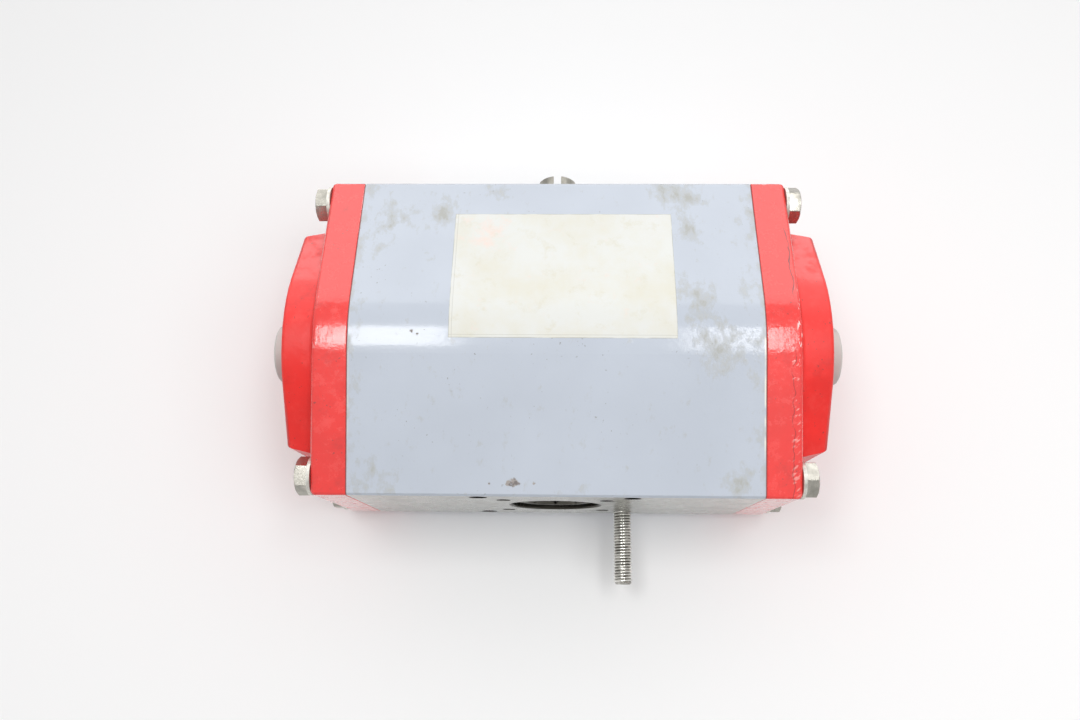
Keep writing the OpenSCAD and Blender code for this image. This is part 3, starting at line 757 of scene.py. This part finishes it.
def on_side(distance, start_angle, lift):
    """A point on the body's upper side, a distance round it from an angle on the bulge."""
    lean = side_lean()
    bend = RIDGE_R * (lean - start_angle)
    angle = min(start_angle + distance / RIDGE_R, lean)
    straight = max(0.0, distance - bend)
    y = AXIS_Y + (RIDGE_R + lift) * math.sin(angle) + straight * math.cos(lean)
    z = (RIDGE_R + lift) * math.cos(angle) - straight * math.sin(lean)
    return y, z


# Faces of the label, across and up
LABEL_GRID = (12, 48)


class ActuatorLabel(bpy.types.Operator):
    """Lays the bare paper label over the body's bulge"""

    bl_idname = "actuator.label"
    bl_label = "Label"

    def execute(self, context):
        own = sizes()
        lean = side_lean()
        start = math.asin((own.label_low - AXIS_Y) / RIDGE_R)
        bend = RIDGE_R * (lean - start)
        reach = bend + (own.label_high - AXIS_Y - RIDGE_R * math.sin(lean)) / math.cos(lean)
        bm = bmesh.new()
        columns, rows = LABEL_GRID
        bmesh.ops.create_grid(bm, x_segments=columns, y_segments=rows, size=0.5)
        width = own.label_left + own.label_right
        for vert in bm.verts:
            across, up = vert.co.x + 0.5, vert.co.y + 0.5
            y, z = on_side(up * reach, start, own.label_lift)
            vert.co = (across * width - own.label_left, y, z)
        bmesh.ops.solidify(bm, geom=bm.faces[:], thickness=own.label_t)
        bmesh.ops.recalc_face_normals(bm, faces=bm.faces)
        piece("paper_label", bm, [label_paper()], "housing")
        return {"FINISHED"}


# Nodes that keep their own mesh and are finished with their neighbours
FINISHED_BEFORE = ("_cap_washers", "_cap_gasket")


class ActuatorInside(bpy.types.Operator):
    """Finishes the shaft, the plugs and the pieces inside"""

    bl_idname = "actuator.inside"
    bl_label = "Shaft, plugs and inner pieces"

    def execute(self, context):
        own = colours()
        finishes = {
            "shaft_steel": steel("turned_steel", own.shaft, 0.28, 10 * MM, painted_shade=0.85),
            "plated_steel": bpy.data.materials["zinc_plated_steel"],
            "spring_steel": steel("spring_steel", linear("55544f"), 0.35, 4 * MM),
            "piston_alloy": steel("cast_aluminium", linear("c6c8c8"), 0.4, 4 * MM),
            "grey_plastic": moulded("plug_plastic", own.plug, 0.4, 1.2 * MM),
            "seal_rubber": moulded("nitrile_rubber", own.rubber, 0.55, 1 * MM),
            "bearing_plastic": moulded("bearing_plastic", own.bearing, 0.45, 1 * MM),
        }
        for entry in frame["record"]["subparts"]:
            node = frame["nodes"][entry["node"]]
            if not node.hide_render and not entry["node"].endswith(FINISHED_BEFORE):
                finish_node(entry["node"], finishes[entry["material_slot"]])
        return {"FINISHED"}


# Stage

# Lamps overhead: place across and behind the valve face, and size, in metres
LEFT_PLACE, LEFT_SIZE = (-0.315, 0.13), (0.27, 0.36)
RIGHT_PLACE, RIGHT_SIZE = (0.31, 0.11), (0.20, 0.40)
FILL_PLACE, FILL_SIZE = (0.42, -0.25), (1.2, 0.6)
SCREEN_PLACE, SCREEN_SIZE = (0.0, 1.4), (3.6, 0.9)
FILL_TILT = math.radians(-15)
SCREEN_TILT = math.radians(51)
# The two rim lamps stand on the table, this far to each side and behind
RIM_ACROSS, RIM_BEHIND, RIM_SIZE = 1.05, 3.0, (0.9, 0.6)
UPRIGHT = math.radians(90)
# The sky turns from its front to its back strength between these parts of a direction's Y
SKY_TURN = 0.6
FILM_W = 36
NEAREST = 10 * MM


def soft_box(name, place, size, power, tilt=0.0):
    """A rectangular lamp that looks down, or forwards by a tilt, and backwards where it is negative."""
    lamp = bpy.data.lights.new(name, "AREA")
    lamp.shape = "RECTANGLE"
    lamp.size, lamp.size_y = size
    lamp.energy = power
    made = bpy.data.objects.new(name, lamp)
    made.location = place
    made.rotation_euler = Euler((-tilt, 0, 0))
    bpy.context.scene.collection.objects.link(made)
    return made


def sky(own):
    """Soft light from all round, weaker from the camera's side, before a plain white background."""
    world = bpy.data.worlds.new("soft_sky")
    world.use_nodes = True
    tree = world.node_tree
    tree.nodes.clear()
    direction = add(tree, "TexCoord", output="Generated")
    light = add(tree, "MapRange", {
        "Value": add(tree, "SeparateXYZ", {0: direction}, "Y"), "From Min": -SKY_TURN, "From Max": SKY_TURN,
        "To Min": own.front_sky, "To Max": own.back_sky,
    })
    rays = add(tree, "LightPath", output=None).outputs
    seen = strongest(tree, *[rays[f"Is {kind} Ray"] for kind in ("Camera", "Glossy", "Transmission")])
    strength = add(tree, "Mix", {0: seen, 2: light, 3: own.background}, data_type="FLOAT")
    white = add(tree, "Background", {"Color": opaque((1, 1, 1)), "Strength": strength})
    add(tree, "OutputWorld", {"Surface": white}, None)
    return world


class ActuatorTable(bpy.types.Operator):
    """Sets up the table, the lamps and the camera"""

    bl_idname = "actuator.table"
    bl_label = "Table, lamps and camera"

    def execute(self, context):
        scene = context.scene
        own = scene.actuator_stage
        scene.view_settings.view_transform = "Standard"
        bm = bmesh.new()
        bmesh.ops.create_grid(bm, x_segments=4, y_segments=4, size=own.table / 2)
        for vert in bm.verts:
            vert.co.z = BODY_LOW.z
        mesh = bpy.data.meshes.new("table")
        bm.to_mesh(mesh)
        bm.free()
        mesh.materials.append(table_top())
        table = bpy.data.objects.new("table", mesh)
        scene.collection.objects.link(table)

        scene.world = sky(own)
        height = BODY_LOW.z + own.lamp_height
        soft_box("left_soft_box", (*LEFT_PLACE, height), LEFT_SIZE, own.left_power)
        soft_box("right_soft_box", (*RIGHT_PLACE, height), RIGHT_SIZE, own.right_power)
        fill = soft_box("fill_lamp", (*FILL_PLACE, height), FILL_SIZE, own.fill_power, FILL_TILT)
        fill.visible_glossy = False
        screen = soft_box("back_screen", (*SCREEN_PLACE, height), SCREEN_SIZE, own.back_power, SCREEN_TILT)
        screen.visible_diffuse = False
        rim_middle = BODY_LOW.z + RIM_SIZE[1] / 2
        for name, across in (("left_rim", -RIM_ACROSS), ("right_rim", RIM_ACROSS)):
            rim = soft_box(name, (across, RIM_BEHIND, rim_middle), RIM_SIZE, own.rim_power, UPRIGHT)
            rim.visible_diffuse = False
            rim.visible_camera = False

        camera = bpy.data.cameras.new("camera")
        camera.sensor_width = FILM_W
        camera.lens = own.lens
        camera.clip_start = NEAREST
        made = bpy.data.objects.new("camera", camera)
        made.location = own.eye
        made.rotation_euler = Euler(own.turn)
        scene.collection.objects.link(made)
        scene.camera = made
        return {"FINISHED"}


class ActuatorPanel(bpy.types.Panel):
    """Lists the steps of the actuator's finish"""

    bl_idname = "VIEW3D_PT_actuator"
    bl_label = "Actuator"
    bl_space_type = "VIEW_3D"
    bl_region_type = "UI"
    bl_category = "Actuator"

    def draw(self, context):
        for step in STEPS:
            self.layout.operator(step.bl_idname)
        for group, kind in GROUPS.items():
            for name in kind.__annotations__:
                self.layout.prop(getattr(context.scene, group), name)


STEPS = (ActuatorTable, ActuatorHousing, ActuatorCovers, ActuatorFasteners, ActuatorStud, ActuatorLabel,
         ActuatorInside)
GROUPS = {
    "actuator_colours": ActuatorColours,
    "actuator_sizes": ActuatorSizes,
    "actuator_stage": ActuatorStage,
}


def register():
    for made in (*GROUPS.values(), *STEPS, ActuatorPanel):
        bpy.utils.register_class(made)
    for name, group in GROUPS.items():
        setattr(bpy.types.Scene, name, PointerProperty(type=group))


def unregister():
    for name in GROUPS:
        delattr(bpy.types.Scene, name)
    for made in reversed((*GROUPS.values(), *STEPS, ActuatorPanel)):
        bpy.utils.unregister_class(made)


def main():
    register()
    bpy.ops.actuator.table()
    bpy.ops.actuator.housing()
    bpy.ops.actuator.covers()
    bpy.ops.actuator.fasteners()
    bpy.ops.actuator.stud()
    bpy.ops.actuator.label()
    bpy.ops.actuator.inside()


if __name__ == "__main__":
    main()
